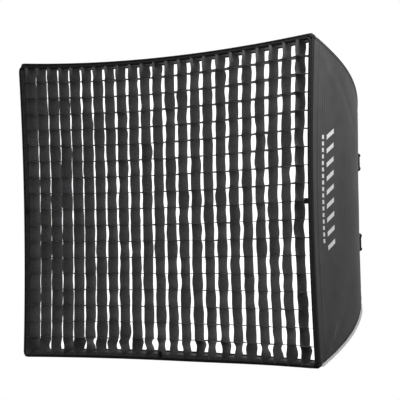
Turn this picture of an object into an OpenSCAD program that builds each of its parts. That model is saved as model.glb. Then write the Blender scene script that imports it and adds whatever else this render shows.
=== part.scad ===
// Rectangular softbox with an egg-crate grid, two diffusers and a panel-lamp mounting frame.
// Origin: centre of the mounting frame's rear face, where the lamp seats.
// +Y points towards the lamp, the lit front faces -Y, +Z is up.

/* [Overall size] */
// Width over the front corners
front_w = 1219; // [1000:1:1400]
// Height over the front corners
front_h = 914; // [800:1:1100]
// Distance from the front corners to the rear face of the mounting frame
box_depth = 479; // [440:1:540]
// How far each wall comes in between the front corner and the frame
taper = 272; // [240:1:290]

/* [Rods] */
// Rod diameter
rod_d = 5.5; // [4:0.5:6]
// Distance from the outer front corner to the rod's centre line
rod_inset = 7.5; // [7:0.5:10]
// Angle of the rod to the box axis at the front corner
front_angle = 16.8; // [12:0.1:22]
// Angle of the rod to the box axis where it enters its socket
rear_angle = 64; // [55:1:72]
// Reach of the curve's front handle
front_pull = 262; // [220:1:280]
// Reach of the curve's rear handle
rear_pull = 155; // [120:1:170]

/* [Fabric] */
// How far the top front edge bows down at its middle
bow_top = 24; // [5:1:30]
// How far the bottom front edge bows up at its middle
bow_bottom = 8; // [5:1:30]
// How far each side front edge bows in at its middle
bow_side = 14; // [5:1:30]
// How far each wall is pulled in half way back
bow_mid = 19; // [5:1:28]
// Thickness of the black outer nylon
shell_t = 1.2; // [0.8:0.1:1.4]
// Thickness of the silver lining
lining_t = 0.8; // [0.6:0.1:1]

/* [Grid] */
// Number of cells across
grid_cols = 24; // [12:1:30]
// Number of cells up
grid_rows = 18; // [8:1:24]
// Spacing of the upright strips
grid_pitch_x = 51.7; // [40:0.1:52]
// Spacing of the level strips
grid_pitch_z = 49.6; // [40:0.1:52]
// Depth of the grid strips
grid_depth = 42; // [30:1:44]
// How far the strips stand out in front of the grid's border
strip_proud = 12; // [0:1:15]
// Thickness of a grid strip
strip_t = 1; // [0.8:0.1:1.4]
// How far the grid's border stands out in front of the corners
grid_proud = 9; // [8:1:14]

/* [Diffusers] */
// Depth of the front diffuser behind the corners
diffuser_d = 34; // [32:1:40]
// Depth of the inner baffle behind the corners
baffle_d = 219; // [180:1:260]
// Gap between the inner baffle's edge and the walls
baffle_gap = 30; // [20:1:45]

/* [Mounting frame] */
// Face width of the frame rails
rail_w = 30; // [26:1:36]
// Thickness of the frame rails, front to back
rail_t = 20; // [18:1:24]
// Wall of the rail extrusions
rail_wall = 2.5; // [2:0.5:3]
// Side of the square corner castings
casting_w = 46; // [44:1:56]
// Radius of the safety cable hole
safety_r = 4.25; // [3:0.25:5]

/* [Latches] */
// Height of the latch pivots above and below the frame's middle
latch_z = 100; // [70:1:105]
// Reach of a latch arm from its pivot
latch_reach = 46; // [35:1:50]
// Thickness of the lamp flange that a latch holds
flange_gap = 14; // [8:1:16]
// Radius of the latch posts
post_r = 4; // [3:0.5:4]

/* [Hidden] */
$fn = 48;

eps = 0.01;
front_y = -box_depth;              // plane of the front corners
rod_x = front_w / 2 - rod_inset;   // rod centre at the front corner
rod_z = front_h / 2 - rod_inset;
seat_x = rod_x - taper;            // half size of the frame, and the socket mouth
seat_z = rod_z - taper;
mouth_d = box_depth - rail_t + 1;  // depth of the socket mouth behind the corners
rod_r = rod_d / 2;

// Offsets from the rod line, square to the wall: negative is inside the box
hem_in = 0.8;
hem_out = 2.6;
lining_in = 3;
shell_in = 4.2;
tape_in = -2.6;
tape_out = -1.2;

// Bands along the wall, as depths behind the front corners
hem_depth = 45;
grid_tape_end = 22;
tape_lead = 0.8;                   // the grid's tape starts just behind its border
diffuser_tape_w = 24;
wall_end = 0.995;                  // the walls stop just before the frame
edge_gap = 10;                     // a wall's edge to the rod line, at the front
edge_gap_rear = 5;                 // added to it at the rear, to clear the socket
band_gap = 12;                     // a tape's end to the rod line

sleeve_out = 5.5;
sleeve_in = 3.4;
sleeve_start = 16;                 // depth where a sleeve starts
sleeve_end = 0.955;
ferrule_r = 4;
ferrule_bore = 2.8;
ferrule_out = 12;                  // length of ferrule outside the socket
ferrule_in = 25;                   // and inside it
socket_r = 4.1;
socket_boss_r = 9;
socket_out = 8;
socket_in = 28;
tip_r = 4.2;
tip_len = 12;
tip_wall = 2;
pocket_r = 7.5;
pocket_wall = 1.9;
pocket_front = 2;
pocket_len = 17;

cell_inset = 14;                   // rod line to the outermost grid strip
strip_end = 10;                    // the outermost strip to the ends that stand out
border_out_x = 3;                  // the border's outer edge beyond the rod line, at the sides
border_in_z = 3.5;                 // its mean distance inside the rod line, above and below
border_drop = 2.5;                 // how far it sits low, so its bottom band is wider
border_t = 3.5;
border_chamfer = 6;
cloth_t = 0.8;
cloth_chamfer = 12;
baffle_chamfer = 30;
binding_w = 14;
binding_t = 2.4;
tab_w = 25;
tab_t = 1.6;
tab_clear = 3;                     // a baffle tab's end to the rod line
pad_in = 0.9;                      // a loop pad's faces, as offsets from the rod line
pad_out = 2.6;
pad_len = 18;
tab_lap = 8;                       // how far a tab runs onto the binding
hem_strip_t = 1.8;
pull_w = 16;
pull_len = 16;
pull_t = 3;

tenon_len = 25;
tenon_fit = 0.2;
screw_r = 2.4;
screw_hole_r = 2.6;
screw_head_r = 4.5;
screw_head_t = 2.4;
grub_r = 2.5;
grub_s = 14;                       // place of the grub screw along the socket
grub_gap = 1.2;                    // room for the ferrule's slant
grub_front = -rail_t - 3.5;        // its outer end, half a millimetre under the casting's face
key_r = 1.4;                       // its hexagonal key hole
key_depth = 1.5;
bracket_w = 24;
bracket_x = 20;                    // how far a bracket stands out from the rail
bracket_t = 14;
post_x = seat_x + 9.5;
collar_r = 6.5;
head_r = 7;
head_t = 3;
latch_t = 4;
latch_w = 14;
latch_end_r = 8;
running_gap = 0.05;
side_gap = 0.3;
lug_x = 200;
lug_w = 40;
lug_drop = 24;
lug_t = 3;
lug_foot = 10;                     // depth of the lug's flange under the rail
lug_screw_r = 1.6;
lug_head_r = 2.8;
lug_head_t = 1.8;

black_nylon = "#1b1b1d";
black_web = "#232325";
silver_cloth = "#c9ccd0";
white_cloth = "#f2f2ee";
dark_metal = "#3a3b3d";
bright_metal = "#b9bcc0";

// ---------- The rod curve: depth d behind the corners against inward travel w ----------

handle_front = front_pull * [cos(front_angle), sin(front_angle)];
curve_end = [mouth_d, taper];
handle_rear = curve_end - rear_pull * [cos(rear_angle), sin(rear_angle)];

function curve(t) =
    3 * (1 - t) * (1 - t) * t * handle_front
    + 3 * (1 - t) * t * t * handle_rear
    + t * t * t * curve_end;
function curve_step(t) =
    3 * (1 - t) * (1 - t) * handle_front
    + 6 * (1 - t) * t * (handle_rear - handle_front)
    + 3 * t * t * (curve_end - handle_rear);
function slope(t) = atan2(curve_step(t)[1], curve_step(t)[0]);

// Curve parameter at depth d, by halving
function t_at(d, lo = -0.1, hi = 1, n = 24) =
    let (mid = (lo + hi) / 2)
    n == 0 ? mid : curve(mid)[0] < d ? t_at(d, mid, hi, n - 1) : t_at(d, lo, mid, n - 1);

// Inward bow of a wall at depth d, from the front edge's own bow to none at the frame
function wall_bow(d, bow_front) =
    let (s = max(0, min(1, d / mouth_d)))
    bow_front * (1 - s) * (1 - s) + 4 * bow_mid * s * (1 - s) * (1 - s);
function edge_at(t) = edge_gap + edge_gap_rear * pow(max(t, 0), 4);

// The rod in the top right corner: a point and the direction there
function rod_point(t) = [rod_x - curve(t)[1], front_y + curve(t)[0], rod_z - curve(t)[1]];
function rod_dir(t) =
    let (c = curve_step(t), v = [-c[1], c[0], -c[1]])
    v / norm(v);

// ---------- Helpers ----------

// A wall on the +Z side, across X: a sheet between two offsets from the rod line.
// half_across and half_up are the rod line's half sizes at the front corners.
module wall(half_across, half_up, lo, hi, bow_front, t0, t1, inset = undef, nt = 14, nv = 12) {
    function point(t, v, off) =
        let (c = curve(t), a = slope(t), e = is_undef(inset) ? edge_at(t) : inset)
        [v * (half_across - c[1] - e),
         front_y + c[0] + off * sin(a),
         half_up - c[1] - wall_bow(c[0], bow_front) * (1 - v * v) + off * cos(a)];
    points = [for (off = [lo, hi]) for (i = [0:nt]) for (j = [0:nv])
        point(t0 + (t1 - t0) * i / nt, -1 + 2 * j / nv, off)];
    row = nv + 1;
    layer = (nt + 1) * row;
    function at(k, i, j) = k * layer + i * row + j;
    faces = concat(
        [for (i = [0:nt - 1]) for (j = [0:nv - 1]) for (f = [
            [at(1, i, j), at(1, i + 1, j), at(1, i + 1, j + 1)],
            [at(1, i, j), at(1, i + 1, j + 1), at(1, i, j + 1)],
            [at(0, i, j), at(0, i + 1, j + 1), at(0, i + 1, j)],
            [at(0, i, j), at(0, i, j + 1), at(0, i + 1, j + 1)]]) f],
        [for (j = [0:nv - 1]) for (f = [
            [at(0, 0, j), at(1, 0, j), at(1, 0, j + 1)],
            [at(0, 0, j), at(1, 0, j + 1), at(0, 0, j + 1)],
            [at(0, nt, j), at(0, nt, j + 1), at(1, nt, j + 1)],
            [at(0, nt, j), at(1, nt, j + 1), at(1, nt, j)]]) f],
        [for (i = [0:nt - 1]) for (f = [
            [at(0, i + 1, 0), at(1, i + 1, 0), at(1, i, 0)],
            [at(0, i + 1, 0), at(1, i, 0), at(0, i, 0)],
            [at(0, i, nv), at(1, i, nv), at(1, i + 1, nv)],
            [at(0, i, nv), at(1, i + 1, nv), at(0, i + 1, nv)]]) f]);
    polyhedron(points, faces);
}

// The same sheet on one named side
module wall_on(side, lo, hi, t0, t1, inset = undef, nt = 14) {
    if (side == "top")
        wall(rod_x, rod_z, lo, hi, bow_top, t0, t1, inset, nt);
    if (side == "bottom")
        rotate([0, 180, 0]) wall(rod_x, rod_z, lo, hi, bow_bottom, t0, t1, inset, nt);
    if (side == "right")
        rotate([0, 90, 0]) wall(rod_z, rod_x, lo, hi, bow_side, t0, t1, inset, nt);
    if (side == "left")
        rotate([0, -90, 0]) wall(rod_z, rod_x, lo, hi, bow_side, t0, t1, inset, nt);
}

// Four bands, one on each side, for the tapes
module band(lo, hi, d0, d1) {
    for (side = ["top", "bottom", "left", "right"])
        wall_on(side, lo, hi, t_at(d0), t_at(d1), band_gap, 2);
}

// Copies its children, made for the top right, into one named corner
module to_corner(corner) {
    if (corner == "tr") children();
    if (corner == "tl") mirror([1, 0, 0]) children();
    if (corner == "br") mirror([0, 0, 1]) children();
    if (corner == "bl") mirror([0, 0, 1]) mirror([1, 0, 0]) children();
}

module to_all_corners() {
    for (corner = ["tl", "tr", "bl", "br"])
        to_corner(corner) children();
}

// Puts +Z of its children along a direction, from a point
module aim(point, dir) {
    translate(point)
        rotate([0, acos(dir[2]), atan2(dir[1], dir[0])])
            children();
}

// A flat plate between two depths from a drawing in X and Z
module plate(y0, y1) {
    translate([0, y1, 0])
        rotate([90, 0, 0])
            linear_extrude(y1 - y0)
                children();
}

// A round bar along +Y
module bar_y(r, y0, y1) {
    translate([0, y0, 0])
        rotate([-90, 0, 0])
            cylinder(r = r, h = y1 - y0);
}

// A swept tube on the rod's curve, open through its middle if it has an inner radius
module rod_sweep(r_out, r_in, t0, t1, rings, sides, tail) {
    across = [1, 0, -1] / sqrt(2);
    function centre(i) =
        i <= rings ? rod_point(t0 + (t1 - t0) * i / rings) : rod_point(t1) + tail * rod_dir(t1);
    function ring(i, r) =
        let (dir = rod_dir(t0 + (t1 - t0) * min(i, rings) / rings), up = cross(dir, across))
        [for (k = [0:sides - 1]) centre(i) + r * (cos(360 * k / sides) * across + sin(360 * k / sides) * up)];
    last = tail > 0 ? rings + 1 : rings;
    module solid_tube(r) {
        points = [for (i = [0:last]) for (p = ring(i, r)) p];
        faces = concat(
            [[for (k = [0:sides - 1]) k]],
            [[for (k = [sides - 1:-1:0]) last * sides + k]],
            [for (i = [0:last - 1]) for (k = [0:sides - 1]) for (f = [
                [i * sides + k, (i + 1) * sides + k, (i + 1) * sides + (k + 1) % sides],
                [i * sides + k, (i + 1) * sides + (k + 1) % sides, i * sides + (k + 1) % sides]]) f]);
        polyhedron(points, faces);
    }
    module hollow_tube() {
        points = concat(
            [for (i = [0:last]) for (p = ring(i, r_out)) p],
            [for (i = [0:last]) for (p = ring(i, r_in)) p]);
        inner = (last + 1) * sides;
        function o(i, k) = i * sides + k % sides;
        function n(i, k) = inner + i * sides + k % sides;
        faces = concat(
            [for (i = [0:last - 1]) for (k = [0:sides - 1]) for (f = [
                [o(i, k), o(i + 1, k), o(i + 1, k + 1)],
                [o(i, k), o(i + 1, k + 1), o(i, k + 1)],
                [n(i, k), n(i + 1, k + 1), n(i + 1, k)],
                [n(i, k), n(i, k + 1), n(i + 1, k + 1)]]) f],
            [for (k = [0:sides - 1]) for (f = [
                [o(0, k), o(0, k + 1), n(0, k + 1)],
                [o(0, k), n(0, k + 1), n(0, k)],
                [o(last, k), n(last, k + 1), o(last, k + 1)],
                [o(last, k), n(last, k), n(last, k + 1)]]) f]);
        polyhedron(points, faces);
    }
    if (r_in > 0) hollow_tube();
    if (r_in == 0) solid_tube(r_out);
}

// ---------- Outlines across the box, in X and Z ----------

// A point of a bowed rectangle; u and v run from -1 to 1
function warp(u, v, half_x, half_z, bt, bb, bs) =
    let (z_low = -half_z + bb * (1 - u * u), z_high = half_z - bt * (1 - u * u))
    [u * (half_x - bs * (1 - v * v)), z_low + (v + 1) / 2 * (z_high - z_low)];

// A bowed rectangle with cut corners, anticlockwise
module bowed(half_x, half_z, bt, bb, bs, cut, n = 12) {
    cu = cut / half_x;
    cv = cut / half_z;
    function side(i, c) = -1 + c + (2 - 2 * c) * i / n;
    polygon(concat(
        [for (i = [0:n]) warp(side(i, cu), -1, half_x, half_z, bt, bb, bs)],
        [for (i = [0:n]) warp(1, side(i, cv), half_x, half_z, bt, bb, bs)],
        [for (i = [0:n]) warp(-side(i, cu), 1, half_x, half_z, bt, bb, bs)],
        [for (i = [0:n]) warp(-1, -side(i, cv), half_x, half_z, bt, bb, bs)]));
}

// The rod line's bowed outline at depth d, moved in by some amount
module section(d, inset, cut) {
    w = curve(t_at(d))[1];
    bowed(rod_x - w - inset, rod_z - w - inset,
        wall_bow(d, bow_top), wall_bow(d, bow_bottom), wall_bow(d, bow_side), cut);
}

grid_x = rod_x - cell_inset;
grid_z = rod_z - cell_inset;
function grid_u(i) = i == 0 ? -1 : i == grid_cols ? 1 : grid_pitch_x * (i - grid_cols / 2) / grid_x;
function grid_v(j) = j == 0 ? -1 : j == grid_rows ? 1 : grid_pitch_z * (j - grid_rows / 2) / grid_z;
function grid_point(i, j) = warp(grid_u(i), grid_v(j), grid_x, grid_z, bow_top, bow_bottom, bow_side);

module grid_outline() {
    h = strip_t / 2;
    polygon(concat(
        [for (i = [0:grid_cols]) grid_point(i, 0) + [i == 0 ? -h : i == grid_cols ? h : 0, -h]],
        [for (j = [1:grid_rows]) grid_point(grid_cols, j) + [h, j == grid_rows ? h : 0]],
        [for (i = [grid_cols - 1:-1:0]) grid_point(i, grid_rows) + [i == 0 ? -h : 0, h]],
        [for (j = [grid_rows - 1:-1:1]) grid_point(0, j) + [-h, 0]]));
}

// ---------- Mounting frame ----------

module rail(length) {
    difference() {
        translate([-length / 2, -rail_t, -rail_w])
            cube([length, rail_t, rail_w]);
        translate([-length / 2 - 1, -rail_t + rail_wall, -rail_w + rail_wall])
            cube([length + 2, rail_t - 2 * rail_wall, rail_w - 2 * rail_wall]);
        for (end = [-1, 1])
            translate([end * (length - tenon_len) / 2, 0, -rail_w / 2])
                bar_y(screw_hole_r, -rail_t - 1, -rail_t / 2);
    }
}

rail_x = 2 * (seat_x - casting_w);
rail_z = 2 * (seat_z - casting_w);

module frame_rail_top() {
    color(dark_metal) translate([0, 0, seat_z]) rail(rail_x);
}

module frame_rail_bottom() {
    color(dark_metal) rotate([0, 180, 0]) translate([0, 0, seat_z]) rail(rail_x);
}

module frame_rail_right() {
    color(dark_metal) rotate([0, 90, 0]) translate([0, 0, seat_x]) side_rail();
}

module frame_rail_left() {
    color(dark_metal) rotate([0, -90, 0]) translate([0, 0, seat_x]) side_rail();
}

// A side rail also has the holes of the bracket screws, in its outer wall
module side_rail() {
    difference() {
        rail(rail_z);
        for (end = [-1, 1])
            for (side = [-1, 1])
                translate([end * (latch_z + side * bracket_screw_dx), -bracket_t / 2, -rail_wall - 1])
                    cylinder(r = screw_r, h = rail_wall + 2);
    }
}

module tenon(length) {
    translate([-length, -rail_t + rail_wall + tenon_fit, -rail_w + rail_wall + tenon_fit])
        cube([
            length + eps,
            rail_t - 2 * (rail_wall + tenon_fit),
            rail_w - 2 * (rail_wall + tenon_fit)
        ]);
}

module rail_screw_place() {
    translate([seat_x - casting_w - tenon_len / 2, 0, seat_z - rail_w / 2])
        children();
    translate([seat_x - rail_w / 2, 0, seat_z - casting_w - tenon_len / 2])
        children();
}

module casting(corner) {
    mouth = rod_point(1);
    dir = rod_dir(1);
    color(dark_metal)
        to_corner(corner)
            difference() {
                union() {
                    translate([seat_x - casting_w, -rail_t - 4, seat_z - casting_w])
                        cube([casting_w, rail_t + 4, casting_w]);
                    translate([seat_x - casting_w, 0, seat_z])
                        tenon(tenon_len);
                    translate([seat_x, 0, seat_z - casting_w])
                        rotate([0, 90, 0])
                            mirror([1, 0, 0])
                                tenon(tenon_len);
                    aim(mouth - socket_out * dir, dir)
                        cylinder(r = socket_boss_r, h = socket_out + socket_in);
                }
                aim(mouth - (socket_out + 1) * dir, dir)
                    cylinder(r = socket_r, h = socket_out + ferrule_in + 2);
                rail_screw_place()
                    bar_y(screw_r, -rail_t, -rail_t / 2 + 2);
                translate(mouth + grub_s * dir)
                    bar_y(grub_r, -rail_t, 0);
            }
}

module rail_screws() {
    color(bright_metal)
        to_all_corners()
            rail_screw_place()
                union() {
                    bar_y(screw_head_r, -rail_t - screw_head_t, -rail_t);
                    bar_y(screw_r, -rail_t - eps, -rail_t / 2 + 2);
                }
}

// Grub screws that hold the ferrules in their sockets
module socket_screws() {
    seat = rod_point(1) + grub_s * rod_dir(1);
    color(bright_metal)
        to_all_corners()
            translate([seat[0], 0, seat[2]])
                difference() {
                    bar_y(grub_r, grub_front, seat[1] - ferrule_r - grub_gap);
                    translate([0, grub_front - eps, 0])
                        rotate([-90, 30, 0])
                            cylinder(r = key_r, h = key_depth, $fn = 6);
                }
}

// A right-angle plate under the top rail with the hole for a safety cable
module safety_lug() {
    top = seat_z - rail_w;
    y = -rail_t / 2;
    color(dark_metal)
        translate([lug_x, 0, top])
            difference() {
                union() {
                    translate([-lug_w / 2, y - lug_t / 2, -lug_drop])
                        cube([lug_w, lug_t, lug_drop]);
                    translate([-lug_w / 2, y - lug_t / 2, -lug_t])
                        cube([lug_w, lug_foot, lug_t]);
                }
                translate([0, 0, -lug_drop / 2 - 2])
                    bar_y(safety_r, -rail_t, 0);
                for (side = [-1, 1])
                    translate([side * lug_w / 3, y + lug_foot / 2, -lug_t - 1])
                        cylinder(r = lug_screw_r, h = lug_t + 2);
            }
}

module lug_screws() {
    top = seat_z - rail_w;
    color(bright_metal)
        for (side = [-1, 1])
            translate([lug_x + side * lug_w / 3, -rail_t / 2 + lug_foot / 2, top - lug_t])
                union() {
                    translate([0, 0, -lug_head_t])
                        cylinder(r = lug_head_r, h = lug_head_t);
                    cylinder(r = lug_screw_r, h = lug_t);
                }
}

// ---------- Latches ----------

bracket_screw_dx = bracket_w / 2 - 4.5;

module latch_brackets() {
    color(dark_metal)
        to_all_corners()
            translate([seat_x, 0, latch_z])
                difference() {
                    translate([0, -bracket_t, -bracket_w / 2])
                        cube([bracket_x, bracket_t, bracket_w]);
                    translate([post_x - seat_x, 0, 0])
                        bar_y(post_r, -bracket_t - 1, 1);
                    for (side = [-1, 1])
                        translate([-1, -bracket_t / 2, side * bracket_screw_dx])
                            rotate([0, 90, 0])
                                cylinder(r = screw_r, h = bracket_x + 2);
                }
}

module bracket_screws() {
    color(bright_metal)
        to_all_corners()
            for (side = [-1, 1])
                translate([seat_x, -bracket_t / 2, latch_z + side * bracket_screw_dx])
                    rotate([0, 90, 0])
                        union() {
                            translate([0, 0, -rail_wall])
                                cylinder(r = screw_r, h = rail_wall + bracket_x);
                            translate([0, 0, bracket_x])
                                cylinder(r = screw_head_r - 0.7, h = screw_head_t);
                        }
}

module latch_posts() {
    arm_back = flange_gap + latch_t + 0.4;
    color(bright_metal)
        to_all_corners()
            translate([post_x, 0, latch_z])
                union() {
                    bar_y(post_r, -bracket_t, arm_back + eps);
                    bar_y(collar_r, 0, flange_gap - side_gap);
                    bar_y(head_r, arm_back, arm_back + head_t);
                }
}

// A swing latch: turned inwards, its arm hooks behind the lamp's flange
module latch(corner) {
    color(dark_metal)
        to_corner(corner)
            translate([post_x, 0, latch_z])
                difference() {
                    union() {
                        bar_y(latch_end_r, flange_gap, flange_gap + latch_t);
                        translate([-latch_w / 2, flange_gap, 0])
                            cube([latch_w, latch_t, latch_reach - latch_w / 2]);
                        translate([0, 0, latch_reach - latch_w / 2]) {
                            bar_y(latch_w / 2, flange_gap, flange_gap + latch_t);
                            bar_y(latch_w / 2 - 2, flange_gap, flange_gap + latch_t + 6);
                        }
                    }
                    bar_y(post_r + running_gap, flange_gap - 1, flange_gap + latch_t + 1);
                }
}

// ---------- Rods ----------

module rod(corner) {
    color("#8d8f92")
        to_corner(corner)
            rod_sweep(rod_r, 0, t_at(tip_wall), 1, 40, 8, ferrule_in - 1);
}

module rod_ferrules() {
    dir = rod_dir(1);
    color(bright_metal)
        to_all_corners()
            aim(rod_point(1) - ferrule_out * dir, dir)
                difference() {
                    cylinder(r = ferrule_r, h = ferrule_out + ferrule_in);
                    translate([0, 0, -1])
                        cylinder(r = ferrule_bore, h = ferrule_out + ferrule_in + 2);
                }
}

module rod_tips() {
    dir = rod_dir(0);
    color("#141414")
        to_all_corners()
            aim(rod_point(0), dir)
                difference() {
                    cylinder(r = tip_r, h = tip_len);
                    translate([0, 0, tip_wall])
                        cylinder(r = ferrule_bore, h = tip_len);
                }
}

// ---------- Shell ----------

module shell(side) {
    color(black_nylon) wall_on(side, shell_in, shell_in + shell_t, 0, wall_end);
}

module lining(side) {
    color(silver_cloth) wall_on(side, lining_in, lining_in + lining_t, 0, wall_end);
}

module rod_sleeve(corner) {
    color(black_web)
        to_corner(corner)
            rod_sweep(sleeve_out, sleeve_in, t_at(sleeve_start), sleeve_end, 26, 12, 0);
}

module corner_pocket(corner) {
    dir = rod_dir(0);
    color(black_web)
        to_corner(corner)
            aim(rod_point(0) - pocket_front * dir, dir)
                difference() {
                    cylinder(r = pocket_r, h = pocket_len);
                    translate([0, 0, pocket_wall])
                        cylinder(r = pocket_r - pocket_wall, h = pocket_len);
                }
}

// Loop-tape webbing inside the front rim, where the grid and the diffuser fasten
module front_hem(side) {
    color(black_web) wall_on(side, hem_in, hem_out, 0, t_at(hem_depth), nt = 3);
}

// Webbing strips that fasten the shell's rear edge round the frame
module rear_hem() {
    y0 = -rail_t + 2;
    y1 = -3;
    gap = 0.4;
    end_gap = 17;                  // the strips' ends to the frame's corners, top and bottom
    side_end = seat_z - 13;
    color(black_web) {
        for (turn = [0, 180])
            rotate([0, turn, 0])
                translate([-seat_x + end_gap, y0, seat_z + gap])
                    cube([2 * (seat_x - end_gap), y1 - y0, hem_strip_t]);
        for (turn = [90, -90])
            rotate([0, turn, 0])
                for (end = [-1, 0, 1]) {
                    inner = latch_z + bracket_w / 2 + 2;
                    half = end == 0 ? latch_z - bracket_w / 2 - 2 : (side_end - inner) / 2;
                    translate([end * (inner + side_end) / 2 - half, y0, seat_x + gap])
                        cube([2 * half, y1 - y0, hem_strip_t]);
                }
    }
}

// ---------- Inner baffle ----------

baffle_y = front_y + baffle_d;
baffle_w = curve(t_at(baffle_d))[1];
function tab_u(side) = side == "top" || side == "bottom" ? [-0.6, 0, 0.6] : [-0.5, 0.5];

module baffle_cloth() {
    color(white_cloth)
        plate(baffle_y, baffle_y + cloth_t)
            section(baffle_d, baffle_gap, baffle_chamfer);
}

module baffle_binding() {
    color(black_web)
        plate(baffle_y - binding_t, baffle_y)
            difference() {
                section(baffle_d, baffle_gap, baffle_chamfer);
                section(baffle_d, baffle_gap + binding_w, baffle_chamfer);
            }
}

// Puts a child made on the +Z wall at each tab's place; the child's origin is on the rod line's wall.
// With lean, the child also tilts to lie along the wall there.
module at_tabs(side, lean = false) {
    turn = side == "top" ? 0 : side == "right" ? 90 : side == "bottom" ? 180 : -90;
    upright = side == "top" || side == "bottom";
    bow = side == "top" ? bow_top : side == "bottom" ? bow_bottom : bow_side;
    half_across = upright ? rod_x : rod_z;
    half_up = upright ? rod_z : rod_x;
    bow_here = wall_bow(baffle_d, bow);
    bow_rate = wall_bow(baffle_d + 1, bow) - bow_here;
    back = tan(slope(t_at(baffle_d)));
    across = 2 * bow_here / (half_across - baffle_w);
    for (tab = tab_u(side)) {
        x = tab * (half_across - baffle_w - baffle_gap);
        u = x / (half_across - baffle_w);
        rotate([0, turn, 0])
            translate([x, baffle_y, half_up - baffle_w - bow_here * (1 - u * u)])
                rotate(lean ? [-atan(back + bow_rate * (1 - u * u)), -atan(across * u), 0] : [0, 0, 0])
                    children();
    }
}

module baffle_tabs() {
    reach = baffle_gap + tab_lap;
    color(black_web)
        for (side = ["top", "bottom", "left", "right"])
            at_tabs(side)
                translate([-tab_w / 2, -binding_t - tab_t, -reach])
                    cube([tab_w, tab_t, reach - tab_clear]);
}

// Loop pads sewn to the lining, which the baffle's tabs stick to
module baffle_loops() {
    color(black_web)
        for (side = ["top", "bottom", "left", "right"])
            at_tabs(side, lean = true)
                translate([-tab_w / 2, -pad_len / 2, pad_in])
                    cube([tab_w, pad_len, pad_out - pad_in]);
}

// ---------- Front diffuser ----------

diffuser_y = front_y + diffuser_d;

module diffuser_cloth() {
    color(white_cloth)
        plate(diffuser_y - cloth_t, diffuser_y)
            section(diffuser_d, -tape_in + 0.4, cloth_chamfer);
}

module diffuser_hook_tape() {
    color(black_web) band(tape_in, tape_out, diffuser_d, diffuser_d + diffuser_tape_w);
}

// ---------- Grid ----------

grid_front_y = front_y - grid_proud;

// Crossed strips seen from the front: an outline with one quadrilateral hole for each cell
module strips_plan() {
    h = strip_t / 2;
    difference() {
        grid_outline();
        for (i = [0:grid_cols - 1])
            for (j = [0:grid_rows - 1])
                polygon([
                    grid_point(i, j) + [h, h],
                    grid_point(i + 1, j) + [-h, h],
                    grid_point(i + 1, j + 1) + [-h, -h],
                    grid_point(i, j + 1) + [h, -h]
                ]);
    }
}

// The strips stand out in front of the border, but for their ends and the outermost ones
module grid_lattice() {
    color(black_nylon) {
        plate(grid_front_y, grid_front_y + grid_depth - strip_proud)
            strips_plan();
        plate(grid_front_y - strip_proud, grid_front_y + eps)
            intersection() {
                strips_plan();
                bowed(grid_x - strip_end, grid_z - strip_end,
                    bow_top, bow_bottom, bow_side, strip_end, grid_cols);
            }
    }
}

// The flat border round the grid, which covers the front edge of the shell
module grid_border() {
    color(black_web)
        plate(grid_front_y, grid_front_y + border_t)
            difference() {
                translate([0, -border_drop])
                    bowed(rod_x + border_out_x, rod_z - border_in_z,
                        bow_top, bow_bottom, bow_side, border_chamfer, grid_cols);
                grid_outline();
            }
}

module grid_hook_tape() {
    color(black_web) band(tape_in, tape_out, border_t - grid_proud + tape_lead, grid_tape_end);
}

// Loops in the middle of each side, to peel the grid off by
module grid_pull_tabs() {
    module tab(reach) {
        translate([-pull_w / 2, grid_front_y - pull_t, reach - pull_len])
            difference() {
                cube([pull_w, pull_t, pull_len]);
                translate([pull_w / 2, -1, pull_len / 3])
                    rotate([-90, 0, 0])
                        cylinder(r = pull_w / 4, h = pull_t + 2);
            }
    }
    color(black_web) {
        tab(rod_z - border_in_z - border_drop - bow_top);
        rotate([0, 180, 0]) tab(rod_z - border_in_z + border_drop - bow_bottom);
        rotate([0, 90, 0]) tab(rod_x + border_out_x - bow_side);
        rotate([0, -90, 0]) tab(rod_x + border_out_x - bow_side);
    }
}

// ---------- Parts ----------

frame_rail_top();
frame_rail_bottom();
frame_rail_left();
frame_rail_right();
casting("tl");  // corner_casting_tl
casting("tr");  // corner_casting_tr
casting("bl");  // corner_casting_bl
casting("br");  // corner_casting_br
rail_screws();
socket_screws();
safety_lug();
lug_screws();
latch_brackets();
bracket_screws();
latch_posts();
latch("tl");  // latch_tl
latch("tr");  // latch_tr
latch("bl");  // latch_bl
latch("br");  // latch_br
rod("tl");  // rod_tl
rod("tr");  // rod_tr
rod("bl");  // rod_bl
rod("br");  // rod_br
rod_ferrules();
rod_tips();
shell("top");  // shell_top
shell("bottom");  // shell_bottom
shell("left");  // shell_left
shell("right");  // shell_right
lining("top");  // lining_top
lining("bottom");  // lining_bottom
lining("left");  // lining_left
lining("right");  // lining_right
rod_sleeve("tl");  // rod_sleeve_tl
rod_sleeve("tr");  // rod_sleeve_tr
rod_sleeve("bl");  // rod_sleeve_bl
rod_sleeve("br");  // rod_sleeve_br
corner_pocket("tl");  // corner_pocket_tl
corner_pocket("tr");  // corner_pocket_tr
corner_pocket("bl");  // corner_pocket_bl
corner_pocket("br");  // corner_pocket_br
front_hem("top");  // front_hem_top
front_hem("bottom");  // front_hem_bottom
front_hem("left");  // front_hem_left
front_hem("right");  // front_hem_right
rear_hem();
baffle_loops();
baffle_cloth();
baffle_binding();
baffle_tabs();
diffuser_cloth();
diffuser_hook_tape();
grid_lattice();
grid_border();
grid_hook_tape();
grid_pull_tabs();
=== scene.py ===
"""Looks of the rectangular softbox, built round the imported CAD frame. Metres, +Y towards the lamp, +Z up."""
import math

import bmesh
import bpy
import numpy as np
from mathutils import Matrix, Vector, noise


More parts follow.
